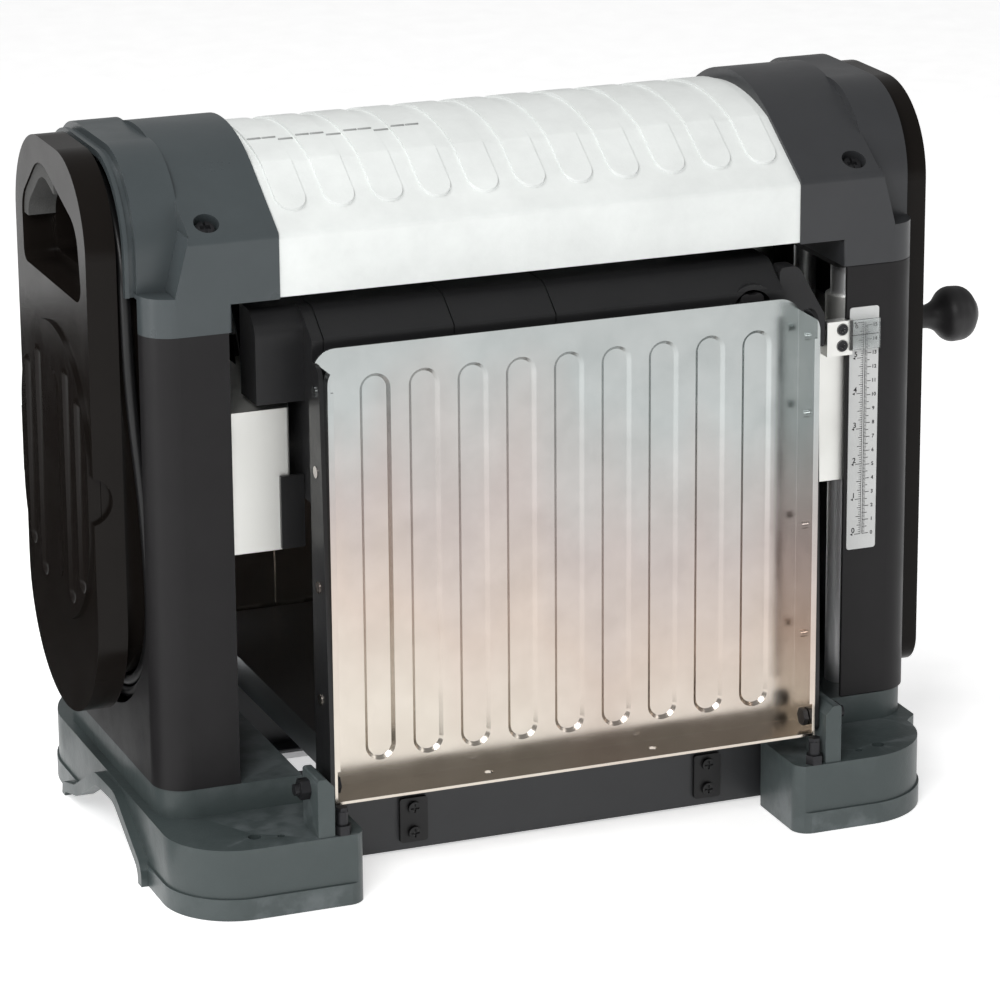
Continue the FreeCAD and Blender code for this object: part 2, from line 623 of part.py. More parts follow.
keep("left_leadscrew", [rod("z", -SCREW_X, 0, SCREW_R, 20, 388), sprocket(-SCREW_X)])
apex = (SCREW_X, 0, CRANK_Z)
screw_gear = bevel(apex, (0, 0, 1), 7.6).cut(rod("z", SCREW_X, 0, SCREW_R, 370, 410))
keep("right_leadscrew", [rod("z", SCREW_X, 0, SCREW_R, 20, 394), sprocket(SCREW_X), screw_gear])
crank_gear = bevel(apex, (-1, 0, 0), 3.6).cut(rod("x", 0, CRANK_Z, SCREW_R, 240, 270))
keep("crank_shaft", [rod("x", 0, CRANK_Z, SCREW_R, 254, 312), crank_gear])
chain = stadium("xy", -SCREW_X - 22.5, SCREW_X + 22.5, -22.5, 22.5, 27.8, 32.2)
keep("drive_chain", [chain.cut(stadium("xy", -SCREW_X - 18.6, SCREW_X + 18.6, -18.6, 18.6, 20, 40))])

# --------------------------------------------------- cutter carriage (lifts)
BLOCK_Z0 = 228.0
BLOCK_Z1 = 325.0
BLOCK_HALF_Y = 113.0
COLLAR_Z1 = 352.0
NUT_R = 12.0
JOURNAL_R = 10.0


def end_block(x1):
    corner = [(180, -BLOCK_HALF_Y, 2), (x1, -BLOCK_HALF_Y, 16), (x1, BLOCK_HALF_Y, 16),
              (180, BLOCK_HALF_Y, 2)]
    outer = prism("xy", corner, BLOCK_Z0, BLOCK_Z1)
    room = [(186, -107, 2), (x1 - 6, -107, 10), (x1 - 6, 107, 10), (186, 107, 2)]
    shell = outer.cut(prism("xy", room, BLOCK_Z0 - 1, BLOCK_Z1 - 7))
    inner = [rod("z", POST_X, y, 15.4, BLOCK_Z0, BLOCK_Z1 - 1) for y in (-POST_Y, POST_Y)]
    inner.append(rod("z", SCREW_X, 0, 18.2, BLOCK_Z0, BLOCK_Z1 - 1).common(outer))
    inner.append(rod("x", 0, CUTTER_Z, 20, 181, 206))
    inner.append(box(204, 210, -108, 108, BLOCK_Z0, BLOCK_Z1 - 2))
    collars = [rod("z", POST_X, y, 15.4, BLOCK_Z1 - 1, COLLAR_Z1) for y in (-POST_Y, POST_Y)]
    solid = fuse([shell] + inner + collars)
    bores = [rod("z", POST_X, y, POST_R + RUN_FIT, 200, 380) for y in (-POST_Y, POST_Y)]
    bores.append(rod("z", SCREW_X, 0, NUT_R, 200, BLOCK_Z0 + 40))
    bores.append(rod("z", SCREW_X, 0, SCREW_R + 1, 200, 380))
    bores.append(rod("x", 0, CUTTER_Z, JOURNAL_R + RUN_FIT, 170, 203))
    return solid.cut(bores)


keep("right_end_block", [end_block(268)])
keep("left_end_block", [flip_x(end_block(254.5))])
nut = fuse([rod("z", SCREW_X, 0, NUT_R, BLOCK_Z0 - 1, BLOCK_Z0 + 36),
            rod("z", SCREW_X, 0, 16, BLOCK_Z0 - 5, BLOCK_Z0)])
nut = nut.cut(rod("z", SCREW_X, 0, SCREW_R + RUN_FIT, 200, 300))
nut_left = nut.cut(box(254.5, 270, -30, 30, 200, 300))
keep("lifting_nuts", [nut, flip_x(nut_left)])

MOTOR_Y = 30.0
MOTOR_Z = 352.0
housing = prism("yz", [(-84, 258), (-84, 292, 4), (-66, 312, 6), (66, 312, 6), (84, 292, 4),
                       (84, 258)], -180, 180)
saddle = box(-120, 80, 10, 50, 308, 330)
housing = fuse([housing, saddle])
tunnels = [rod("x", 0, CUTTER_Z, 29, -181, 181), box(-181, 181, -29, 29, 250, CUTTER_Z)]
for y in (-ROLLER_Y, ROLLER_Y):
    tunnels.append(rod("x", y, ROLLER_Z, 16.5, -181, 181))
    tunnels.append(box(-181, 181, y - 15, y + 15, 250, ROLLER_Z))
tunnels.append(box(-179, -166, -26, 62, CUTTER_Z, 330))
tunnels.append(rod("x", MOTOR_Y, MOTOR_Z, 38, -200, 200))
keep("cutter_housing", [housing.cut(tunnels)])

bearings = []
for y in (-ROLLER_Y, ROLLER_Y):
    bearings.append(ring("x", y, ROLLER_Z, 6 + RUN_FIT, 15, 170, 179.5))
keep("roller_bearings", both_x(bearings))

# cutter block with three knives
KNIFE_TURNS = (90, 210, 330)
head = fuse([rod("x", 0, CUTTER_Z, 23.5, -162, 162), rod("x", 0, CUTTER_Z, JOURNAL_R, -200, 200),
             rod("x", 0, CUTTER_Z, 20, -177, -168)])
knives = []
gib_screws = []
for turn in KNIFE_TURNS:
    slot = box(-163, 163, -1.5, 1.5, 12, 30)
    knife = box(-162, 162, -1.5, 1.5, 12, CUTTER_R)
    flat = box(-163, 163, 4, 26, 17.5, 30)
    screws = [rod("z", -140 + 40 * k, 9, 3, 11, 19.5) for k in range(8)]
    for s in [slot, knife, flat] + screws:
        s.rotate(FreeCAD.Vector(0, 0, 0), FreeCAD.Vector(1, 0, 0), turn)
        s.translate(FreeCAD.Vector(0, 0, CUTTER_Z))
    head = head.cut([slot, flat] + screws)
    knives.append(knife)
    gib_screws += screws
keep("cutter_block", [head])
keep("knives", knives + gib_screws)

for name, y in (("infeed_roller", -ROLLER_Y), ("outfeed_roller", ROLLER_Y)):
    keep(name, [fuse([rod("x", y, ROLLER_Z, ROLLER_R, -166, 166),
                      rod("x", y, ROLLER_Z, 6, -179, 179)])])

can = ring("x", MOTOR_Y, MOTOR_Z, 34, 38, -150, 110)
can_ends = [ring("x", MOTOR_Y, MOTOR_Z, 6 + RUN_FIT, 37, a, a + 4) for a in (-150, 106)]
vents = []
for k in range(12):
    t = math.radians(30 * k)
    vents.append(rod("x", MOTOR_Y + 25 * math.cos(t), MOTOR_Z + 25 * math.sin(t), 4, 100, 120))
keep("motor_can", [fuse([can] + can_ends).cut(vents)])
keep("motor_rotor", [fuse([rod("x", MOTOR_Y, MOTOR_Z, 28, -90, 60),
                           rod("x", MOTOR_Y, MOTOR_Z, 6, -178, 108),
                           rod("x", MOTOR_Y, MOTOR_Z, 31, 74, 88),
                           rod("x", MOTOR_Y, MOTOR_Z, 14, -177, -168)])])


def belt_shape(grow, a, b):
    """Open-belt outline round both pulleys, grown by an offset."""
    r0 = 20 + grow
    r1 = 14 + grow
    way = FreeCAD.Vector(MOTOR_Y, MOTOR_Z - CUTTER_Z, 0)
    tilt = math.acos((r0 - r1) / way.Length)
    base = math.atan2(way.y, way.x)
    pts = []
    for sign, seq in ((1, (0, 1)), (-1, (1, 0))):
        for k in seq:
            r = (r0, r1)[k]
            t = base + sign * tilt
            pts.append((k * way.x + r * math.cos(t), CUTTER_Z + k * way.y + r * math.sin(t)))
    return fuse([prism("yz", pts, a, b), rod("x", 0, CUTTER_Z, r0, a, b),
                 rod("x", MOTOR_Y, MOTOR_Z, r1, a, b)])


keep("drive_belt", [belt_shape(3, -176, -169).cut(belt_shape(0.3, -190, -160))])

# front and rear hoods over the rollers
hood_out = [(-135, 262), (-135, 375, 2), (-112, 392, 14), (-84, 392), (-84, 262)]
hood_in = [(-132, 258), (-132, 373, 2), (-111, 389, 11), (-80, 389), (-80, 258)]
hood = prism("yz", hood_out, -171, 165).cut(prism("yz", hood_in, -168, 162))
rear_hood = flip_y(hood)
KNOB_AT = (143.0, 362.0)
SEAMS = (-163.0, -72.0, 0.0)
seam_floor = [(-134, 255), (-134, 373.4, 1), (-111.5, 391, 13), (-80, 391), (-80, 255)]
seam_skin = prism("yz", hood_out, -170, 164).cut(prism("yz", seam_floor, -172, 166))
hood = hood.cut([seam_skin.common(box(x - 0.5, x + 0.5, -140, -80, 250, 400)) for x in SEAMS])
shoulder = prism("yz", [(-118, 330), (-118, 380, 12), (-106, 392, 8), (-86, 392), (-86, 330)],
                 -204, -170)
hood = fuse([hood, shoulder, rod("y", KNOB_AT[0], KNOB_AT[1], 18, -134, -118)])
hood = hood.cut([rod("y", KNOB_AT[0], KNOB_AT[1], 14.5, -140, -121),
                 rod("y", KNOB_AT[0], KNOB_AT[1], 4 + RUN_FIT, -122, -110),
                 box(-120, -88, -136, -131, 354, 366)])
keep("rear_hood", [rear_hood])
knob_lobes = [rod("y", KNOB_AT[0], KNOB_AT[1], 11, -134, -121.5)]
knob_lobes.append(rod("y", KNOB_AT[0], KNOB_AT[1], 4, -122, -108))
for k in range(6):
    t = math.radians(60 * k)
    knob_lobes.append(rod("y", KNOB_AT[0] + 9 * math.cos(t), KNOB_AT[1] + 9 * math.sin(t), 4,
                          -134, -121.5))
keep("hood_knob", [fuse(knob_lobes)])
guard = prism("xz", [(166, 330), (166, 388, 4), (180, 388, 8), (200, 352, 8), (200, 330)],
              -128, -113.3)
keep("front_hood", [hood, guard.cut(box(160, 197, -124, -110, 320, 384))])
side_plates = [box(171.5, 188, -116, -BLOCK_HALF_Y, 229, 279)]
keep("side_plates", both_x(both_y(side_plates)))

# swinging kickback pawls at the infeed side
PAWL_Y = -102.0
PAWL_Z = 292.0
pawls = [rod("x", PAWL_Y, PAWL_Z, 5, -166, 160)]
for k in range(24):
    x = -158 + 13 * k
    pawls.append(prism("yz", [(-108, 295, 3), (-96, 295, 3), (-97, 264), (-103, 254, 1)], x, x + 7))
keep("kickback_pawls", [fuse(pawls)])

# depth cursor, reaching round in front of the scale on the crank side column
CURSOR_SCREW_X = 216.8
bracket = fuse([box(205.3, 221.2, -121.5, -BLOCK_HALF_Y, 319.4, 343.8),
                box(205.3, 224.4, -121.5, -119.2, 319.4, 343.8)])
cursor_screws = []
for z in (326.3, 337.8):
    bracket = bracket.cut([rod("y", CURSOR_SCREW_X, z, 2, -123, -BLOCK_HALF_Y),
                           rod("y", CURSOR_SCREW_X, z, 4.4, -123, -119.4)])
    head = rod("y", CURSOR_SCREW_X, z, 4, -121.9, -119.4)
    head = head.cut(rod("y", CURSOR_SCREW_X, z, 1.6, -122, -120.6))
    cursor_screws.append(fuse([head, rod("y", CURSOR_SCREW_X, z, 2, -119.4, -BLOCK_HALF_Y)]))
keep("cursor_bracket", [bracket] + cursor_screws)
keep("cursor_window", [box(222, 244.6, -123, -121.5, 322.7, 343.8)])

# depth scale on the column
keep("scale_plate", [rounded_box("xz", 223.8, 245.7, 177.5, 351.5, 2, -118.4, -COL_HALF_Y)])

# ------------------------------------------------- folding feed tables
PANEL_TOP = 371.0
GROOVE_COUNT = 9
GROOVE_PITCH = 34.14
GROOVE_X0 = -131.4
TABLE_SCREW_Z = (136, 214, 293, 347)


def pressed_groove(x):
    """Round-ended groove with sloping sides, let into the operator's face."""
    rims = []
    for half, level in ((10.9, -145.1), (8.3, -142.8)):
        pts = [(x - half, 217 - 123.5 - half, half - 0.001), (x + half, 217 - 123.5 - half, half - 0.001),
               (x + half, 217 + 123.5 + half, half - 0.001), (x - half, 217 + 123.5 + half, half - 0.001)]
        rims.append(rounded_face("xz", pts, level).OuterWire)
    return Part.makeLoft(rims, True, True)


def table_panel():
    r = 16
    face_pts = [(-TABLE_HALF_X, 66.8), (TABLE_HALF_X, 66.8), (TABLE_HALF_X, PANEL_TOP, r),
                (-TABLE_HALF_X, PANEL_TOP, r)]
    tray_in = [(-TABLE_HALF_X + 2, 68.8), (TABLE_HALF_X - 2, 68.8), (TABLE_HALF_X - 2, 400),
               (-TABLE_HALF_X + 2, 400)]
    tray = prism("xz", face_pts, -175, -143).cut(prism("xz", tray_in, -176, -145))
    lips = []
    for x0, x1 in ((170.5, 174), (-174, -170.5)):
        lips.append(box(x0, x1, -175, -173.4, 90, 350))
    pads = []
    dips = []
    for k in range(GROOVE_COUNT):
        x = GROOVE_X0 + GROOVE_PITCH * k
        pads.append(stadium("xz", x - 11, x + 11, 83, 351, -143.5, -141.2))
        dips.append(pressed_groove(x))
    solid = fuse([tray] + lips + pads)
    holes = [rod("x", -HINGE_Y, HINGE_Z, 4 + RUN_FIT, -180, 180)]
    holes += [rod("z", x, -160, 3, 60, 75) for x in (-60, 60)]
    for z in TABLE_SCREW_Z:
        holes.append(rod("x", -158, z, 2.5, -180, 180))
    return solid.cut(dips + holes)


def table_arms():
    arm_pts = [(-175, 69, 6), (-146, 69, 4), (-146, 365, 9), (-166, 365, 8), (-175, 120, 8)]
    plate = prism("yz", arm_pts, TABLE_HALF_X, 177.5)
    holes = [rod("x", -HINGE_Y, HINGE_Z, 4 + RUN_FIT, 170, 180)]
    holes += [rod("x", -158, z, 2.5, 170, 180) for z in TABLE_SCREW_Z]
    plate = plate.cut(holes)
    return both_x([plate])


def table_screws():
    screws = []
    for z in TABLE_SCREW_Z:
        parts = [rod("x", -158, z, 2.5, 170, 177.5), rod("x", -158, z, 4, 177.5, 178.3)]
        screws.append(fuse(parts))
    return both_x(screws)


keep("front_table_panel", [table_panel()])
keep("front_table_arms", table_arms())
keep("front_table_screws", table_screws())
keep("rear_table_panel", [flip_y(table_panel())])
keep("rear_table_arms", [flip_y(s) for s in table_arms()])
keep("rear_table_screws", [flip_y(s) for s in table_screws()])

# ------------------------------------------- power switch, rear of the column
SWITCH_X = 250.0
SWITCH_Z = 320.0
SWITCH_Y = 131.0
switch = rounded_box("xz", SWITCH_X - 18, SWITCH_X + 18, SWITCH_Z - 30, SWITCH_Z + 30, 5,
                     COL_HALF_Y, 134)
switch = switch.cut(box(SWITCH_X - 11, SWITCH_X + 11, 122, 136, SWITCH_Z - 15, SWITCH_Z + 15))
keep("switch_box", [fuse([switch, rod("x", SWITCH_Y, SWITCH_Z, 1.5, SWITCH_X - 12, SWITCH_X + 12)])])
rocker = prism("yz", [(126, SWITCH_Z - 12, 1), (137, SWITCH_Z - 12.5, 1), (134.5, SWITCH_Z, 8),
                      (137, SWITCH_Z + 12.5, 1), (126, SWITCH_Z + 12, 1)],
               SWITCH_X - 10.5, SWITCH_X + 10.5)
keep("switch_rocker", [rocker.cut(rod("x", SWITCH_Y, SWITCH_Z, 1.5 + RUN_FIT, 230, 270))])

# ------------------------------------------------------------------- output
os.makedirs("parts", exist_ok=True)
for name, shape in PARTS.items():
    shape.exportStep("parts/" + name + ".step")
    print(name, len(shape.Solids), "solids", round(shape.Volume / 1000, 1), "cm3")
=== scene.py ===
import math
import bmesh
import bpy
from mathutils import Matrix, Vector


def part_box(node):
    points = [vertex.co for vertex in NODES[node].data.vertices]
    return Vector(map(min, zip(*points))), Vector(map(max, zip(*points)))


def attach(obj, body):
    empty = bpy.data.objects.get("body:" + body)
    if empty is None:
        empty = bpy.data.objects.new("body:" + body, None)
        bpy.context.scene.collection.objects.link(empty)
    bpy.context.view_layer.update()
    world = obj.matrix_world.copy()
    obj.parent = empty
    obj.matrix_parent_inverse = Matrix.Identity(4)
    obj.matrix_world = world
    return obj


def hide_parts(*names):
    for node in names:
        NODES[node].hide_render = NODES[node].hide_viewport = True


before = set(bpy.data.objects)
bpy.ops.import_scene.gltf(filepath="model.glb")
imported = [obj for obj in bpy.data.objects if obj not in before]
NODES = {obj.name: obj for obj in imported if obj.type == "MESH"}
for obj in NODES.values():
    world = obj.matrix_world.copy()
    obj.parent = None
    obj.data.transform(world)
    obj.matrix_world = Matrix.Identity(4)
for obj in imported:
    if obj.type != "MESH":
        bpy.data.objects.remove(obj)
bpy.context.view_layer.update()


# ---------------------------------------------------------------- materials
def lin(r, g, b):
    """Linear colour of an sRGB colour given as 0 to 255."""
    out = []
    for c in (r, g, b):
        c = c / 255
        out.append(c / 12.92 if c <= 0.04045 else ((c + 0.055) / 1.055) ** 2.4)
    return (out[0], out[1], out[2], 1.0)


class Tree:
    """A material's node tree with short ways to add and join nodes."""

    def __init__(self, name):
        self.mat = bpy.data.materials.new(name)
        self.mat.use_nodes = True
        self.nt = self.mat.node_tree
        self.nt.nodes.clear()
        self.out = self.nt.nodes.new("ShaderNodeOutputMaterial")
        self.bsdf = self.nt.nodes.new("ShaderNodeBsdfPrincipled")
        self.nt.links.new(self.bsdf.outputs[0], self.out.inputs[0])
        self.coord = self.nt.nodes.new("ShaderNodeTexCoord").outputs["Object"]

    def add(self, kind, **props):
        node = self.nt.nodes.new(kind)
        for key, value in props.items():
            setattr(node, key, value)
        return node

    def join(self, a, b):
        self.nt.links.new(a, b)

    def mapped(self, scale):
        node = self.add("ShaderNodeMapping")
        node.inputs["Scale"].default_value = scale
        self.join(self.coord, node.inputs["Vector"])
        return node.outputs[0]

    def noise(self, scale, detail=4.0, rough=0.55, stretch=(1, 1, 1)):
        node = self.add("ShaderNodeTexNoise")
        node.inputs["Scale"].default_value = scale
        node.inputs["Detail"].default_value = detail
        node.inputs["Roughness"].default_value = rough
        self.join(self.mapped(stretch), node.inputs["Vector"])
        return node.outputs["Fac"]

    def ramp(self, fac, stops):
        node = self.add("ShaderNodeValToRGB")
        while len(node.color_ramp.elements) < len(stops):
            node.color_ramp.elements.new(0.5)
        for element, (pos, colour) in zip(node.color_ramp.elements, stops):
            element.position = pos
            element.color = colour
        self.join(fac, node.inputs[0])
        return node.outputs[0]

    def range(self, fac, lo, hi, a=0.3, b=0.7):
        node = self.add("ShaderNodeMapRange")
        node.inputs["From Min"].default_value = a
        node.inputs["From Max"].default_value = b
        node.inputs["To Min"].default_value = lo
        node.inputs["To Max"].default_value = hi
        self.join(fac, node.inputs["Value"])
        return node.outputs[0]

    def mix(self, fac, a, b):
        node = self.add("ShaderNodeMix", data_type="RGBA")
        if isinstance(fac, float):
            node.inputs[0].default_value = fac
        else:
            self.join(fac, node.inputs[0])
        for k, value in ((6, a), (7, b)):
            if isinstance(value, tuple):
                node.inputs[k].default_value = value
            else:
                self.join(value, node.inputs[k])
        return node.outputs[2]

    def bump(self, height, distance, after=None):
        node = self.add("ShaderNodeBump")
        node.inputs["Distance"].default_value = distance
        node.inputs["Strength"].default_value = 1.0
        self.join(height, node.inputs["Height"])
        if after is not None:
            self.join(after, node.inputs["Normal"])
        return node.outputs[0]

    def worn(self, base, edge, amount):
        """Lighter colour along convex edges, broken up by noise."""
        geo = self.add("ShaderNodeNewGeometry")
        fac = self.range(geo.outputs["Pointiness"], 0.0, amount, 0.515, 0.56)
        broken = self.add("ShaderNodeMath", operation="MULTIPLY")
        self.join(fac, broken.inputs[0])
        self.join(self.range(self.noise(60, 5), 0.2, 1.0, 0.4, 0.6), broken.inputs[1])
        return self.mix(broken.outputs[0], base, edge)

    def set(self, **values):
        for key, value in values.items():
            socket = self.bsdf.inputs[key.replace("_", " ")]
            if isinstance(value, (int, float, tuple)):
                socket.default_value = value
            else:
                self.join(value, socket)
        return self.mat


def painted(name, colour, rough, fine=900, fine_d=0.00006, lumps=160, lumps_d=0.00012,
            edge=None, specular=0.35, metallic=0.0):
    """Paint, moulding or rubber: cloudy tone, two sizes of texture, and wear on the edges if given."""
    t = Tree(name)
    dark = tuple(c * 0.94 for c in colour[:3]) + (1.0,)
    light = tuple(min(1.0, c * 1.05) for c in colour[:3]) + (1.0,)
    base = t.ramp(t.noise(26, 6, 0.65), [(0.3, dark), (0.7, light)])
    if edge:
        base = t.worn(base, edge, 0.45)
    n1 = t.bump(t.noise(lumps, 3), lumps_d)
    n2 = t.bump(t.noise(fine, 2), fine_d, after=n1)
    return t.set(Base_Color=base, Metallic=metallic, Roughness=t.range(t.noise(24, 5), *rough),
                 Normal=n2, Specular_IOR_Level=specular)


def metal(name, colour, rough, grain, grain_d):
    """Bare metal with fine machining lines and smudged polish."""
    t = Tree(name)
    normal = t.bump(t.noise(120, 4, 0.6, grain), grain_d)
    smudge = t.range(t.noise(14, 5), *rough)
    return t.set(Base_Color=colour, Metallic=1.0, Roughness=smudge, Normal=normal)


def zinc():
    """Bright zinc plating with a painted reflection, cool at the top and cream below in faint bands,
    and fine rolling lines.
    """
    t = Tree("zinc_plate")
    # painted reflection: colour set by height and broken by cloudy noise, cream low down and cool at
    # the top
    split = t.add("ShaderNodeSeparateXYZ")
    t.join(t.coord, split.inputs[0])
    height = t.range(split.outputs[2], 0.0, 1.0, 0.06, 0.37)
    cloud = t.range(t.noise(3.4, 3, 0.5, (1.6, 1.0, 0.5)), -0.22, 0.22)
    reflection_place = t.add("ShaderNodeMath", operation="ADD", use_clamp=True)
    t.join(height, reflection_place.inputs[0])
    t.join(cloud, reflection_place.inputs[1])
    painted_reflection = t.ramp(reflection_place.outputs[0],
                   [(0.1, lin(203, 193, 180)), (0.36, lin(191, 174, 162)), (0.58, lin(172, 160, 156)),
                    (0.86, lin(165, 171, 171))])
    fine = t.ramp(t.noise(38, 4), [(0.3, lin(160, 160, 157)), (0.7, lin(196, 195, 192))])
    base = t.mix(0.25, painted_reflection, fine)
    lines = t.noise(300, 3, 0.6, (40, 1, 1))
    normal = t.bump(lines, 0.000008)
    normal = t.bump(t.noise(9, 2), 0.00015, after=normal)
    smudge = t.range(t.noise(20, 5), 0.15, 0.27)
    return t.set(Base_Color=base, Metallic=1.0, Roughness=smudge, Normal=normal)


M = {}
M["cast"] = painted("cast_paint", lin(62, 70, 70), (0.3, 0.44), 700, 0.00008, 120, 0.0002,
                    edge=lin(112, 118, 120))
M["cap"] = painted("cap_paint", lin(63, 69, 71), (0.27, 0.37), 1200, 0.00003, 200, 0.00005)
M["cap_dark"] = painted("cap_paint_dark", lin(52, 53, 55), (0.3, 0.4), 1200, 0.00003, 200, 0.00005)
M["black"] = painted("black_paint", lin(30, 29, 30), (0.36, 0.48), 1100, 0.00005, 260, 0.00004,
                     specular=0.18)
M["bracket"] = painted("bracket_black", lin(20, 20, 21), (0.33, 0.46), 900, 0.00005)
M["gloss"] = painted("gloss_moulding", lin(22, 19, 17), (0.16, 0.25), 1500, 0.00002, 220, 0.00002,
                     specular=0.1)
M["hood"] = painted("hood_moulding", lin(29, 29, 30), (0.34, 0.46), 1300, 0.00005, specular=0.3)
M["knob"] = painted("knob_moulding", lin(37, 36, 37), (0.4, 0.5), 1300, 0.00004)
M["white"] = painted("white_powder", lin(221, 224, 222), (0.3, 0.4), 700, 0.00004, 240, 0.00005)
M["rubber"] = painted("soft_rubber", lin(26, 26, 27), (0.6, 0.75), 900, 0.0001)
M["grip"] = painted("grip_rubber", lin(74, 74, 73), (0.62, 0.8), 1400, 0.00025, 500, 0.0003)
M["cord"] = painted("cord_rubber", lin(20, 20, 21), (0.34, 0.46), 900, 0.00004)
M["zinc"] = zinc()
M["alu"] = metal("machined_aluminium", lin(234, 234, 230), (0.42, 0.56), (60, 60, 1), 0.00004)
M["steel"] = metal("ground_steel", lin(222, 222, 223), (0.4, 0.52), (1, 1, 40), 0.00002)
M["steel_bed"] = metal("bed_steel", lin(186, 188, 190), (0.28, 0.33), (1, 40, 1), 0.00002)
M["dark_steel"] = metal("dark_steel", lin(70, 69, 68), (0.35, 0.5), (1, 30, 1), 0.00004)
M["bronze"] = metal("bearing_bronze", lin(186, 150, 92), (0.28, 0.42), (1, 1, 1), 0.00003)
M["oxide"] = painted("black_oxide", lin(44, 44, 46), (0.34, 0.48), 900, 0.00005, metallic=0.6)


def clear():
    """Acrylic window with faint smears."""
    t = Tree("clear_window")
    mark = t.ramp(t.noise(80, 3), [(0.3, lin(226, 230, 230)), (0.7, lin(240, 243, 243))])
    smear = t.range(t.noise(60, 4), 0.03, 0.09)
    return t.set(Base_Color=mark, Roughness=smear, Transmission_Weight=0.97, IOR=1.49)


M["clear"] = clear()
M["scale"] = painted("scale_face", lin(198, 199, 198), (0.3, 0.4), 900, 0.00002)
M["seam"] = painted("seam_grey", lin(150, 152, 151), (0.35, 0.45), 900, 0.00002)
M["ink"] = painted("scale_ink", lin(28, 28, 30), (0.45, 0.6), 900, 0.00002)

FINISH = {
    "cast": ["base_left", "base_right"],
    "cap": ["left_end_cap"],
    "cap_dark": ["right_end_cap", "crossmembers"],
    "black": ["left_column_cover", "right_column_cover", "top_brackets", "motor_can"],
    "bracket": ["bed_brackets", "bracket_screws", "front_table_arms", "rear_table_arms", "side_plates"],
    "oxide": ["cap_screws", "levelling_bolts", "table_pivot_bolts", "crank_arm"],
    "gloss": ["left_pod", "right_pod", "toolbox_lid"],
    "hood": ["front_hood", "rear_hood"],
    "knob": ["hood_knob", "crank_knob", "switch_box", "switch_rocker", "mains_plug", "cord_boot"],
    "white": ["top_cover"],
    "rubber": ["infeed_roller", "outfeed_roller", "drive_belt"],
    "grip": ["pod_grip"],
    "cord": ["mains_cord"],
    "zinc": ["front_table_panel", "rear_table_panel", "front_table_screws", "rear_table_screws"],
    "alu": ["left_end_block", "right_end_block", "cutter_housing", "cursor_bracket"],
    "steel": ["guide_posts", "left_leadscrew", "right_leadscrew", "crank_shaft", "crank_knob_pin",
              "knives", "cutter_block", "motor_rotor", "lid_hinge_pins", "drive_chain"],
    "steel_bed": ["bed_plate"],
    "dark_steel": ["kickback_pawls"],
    "bronze": ["lifting_nuts", "roller_bearings"],
    "clear": ["cursor_window"],
    "scale": ["scale_plate"],
}
for key, names in FINISH.items():
    for name in names:
        mesh = NODES[name].data
        mesh.materials.clear()
        mesh.materials.append(M[key])


# ------------------------------------------------------ soft edges on nodes
JOIN_DISTANCE = 0.00001
SHARP_ANGLE = math.radians(32)


def soften(name, width):
    """Joins the loose faces, rounds the sharp edges and keeps faces smooth."""
    o = NODES[name]
    weld = o.modifiers.new("join", "WELD")
    weld.merge_threshold = JOIN_DISTANCE
    bevel = o.modifiers.new("edges", "BEVEL")
    bevel.width = width
    bevel.segments = 3
    bevel.limit_method = "ANGLE"
    bevel.angle_limit = SHARP_ANGLE
    bevel.use_clamp_overlap = True
    bevel.harden_normals = False
    o.modifiers.new("normals", "WEIGHTED_NORMAL").keep_sharp = True


SOFT = {
    "base_left": 0.0016, "base_right": 0.0016, "left_end_cap": 0.0012, "right_end_cap": 0.0012,
    "left_pod": 0.004, "right_pod": 0.004, "toolbox_lid": 0.0012, "top_cover": 0.0006,
    "front_table_panel": 0.0005, "rear_table_panel": 0.0005, "front_hood": 0.0012,
    "rear_hood": 0.0012, "left_end_block": 0.0006, "right_end_block": 0.0006,
    "left_column_cover": 0.0008, "right_column_cover": 0.0008, "crossmembers": 0.0008,
    "bed_plate": 0.0006, "crank_arm": 0.0012, "mains_plug": 0.001, "cord_boot": 0.001,
    "switch_box": 0.001, "pod_grip": 0.002, "bed_brackets": 0.0004, "table_pivot_bolts": 0.0004,
    "levelling_bolts": 0.0004, "cap_screws": 0.0004, "hood_knob": 0.001, "side_plates": 0.0005,
    "front_table_arms": 0.0005, "rear_table_arms": 0.0005,
}
for name, width in SOFT.items():
    soften(name, width)


# ------------------------------------------------------------- small pieces
def new_mesh(name, bm, material, body, smooth=True):
    """A piece that rides on a body, from a bmesh that is freed."""
    mesh = bpy.data.meshes.new(name)
    bm.to_mesh(mesh)
    bm.free()
    for poly in mesh.polygons:
        poly.use_smooth = smooth
    mesh.materials.append(M[material])
    o = bpy.data.objects.new(name, mesh)
    bpy.context.scene.collection.objects.link(o)
    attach(o, body)
    return o


def add_box(bm, lo, hi):
    """Adds a box between two corners."""
    made = bmesh.ops.create_cube(bm, size=1.0)
    size = [hi[k] - lo[k] for k in range(3)]
    mid = [(hi[k] + lo[k]) / 2 for k in range(3)]
    bmesh.ops.scale(bm, vec=size, verts=made["verts"])
    bmesh.ops.translate(bm, vec=mid, verts=made["verts"])


def add_tube(bm, rings):
    """Joins rings of points into a closed tube with flat ends."""
    loops = [[bm.verts.new(point) for point in ring] for ring in rings]
    count = len(loops[0])
    for low, high in zip(loops, loops[1:]):
        for k in range(count):
            n = (k + 1) % count
            bm.faces.new((low[k], low[n], high[n], high[k]))
    bm.faces.new(loops[-1])
    bm.faces.new(loops[0][::-1])


# depth scale: inches on the left of the middle line and centimetres on the right
INCH = 0.0254
INCHES, MILLIMETRES = 6, 150
ZERO = 0.1884                # height of the scale's zero
SCALE_LENGTH = 0.1525
RAIL_IN, RAIL_OUT = 0.0005, 0.0008       # the double middle line, from the plate's centre
INK_OUT, INK_IN = 0.00012, 0.0001        # how far the ink stands out of the face and sinks into it
ARROW_X, ARROW_LENGTH, ARROW_HALF = 0.0085, 0.0019, 0.001
plate_lo, plate_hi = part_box("scale_plate")
FRONT = plate_lo.y
MIDDLE = (plate_lo.x + plate_hi.x) / 2
bm = bmesh.new()


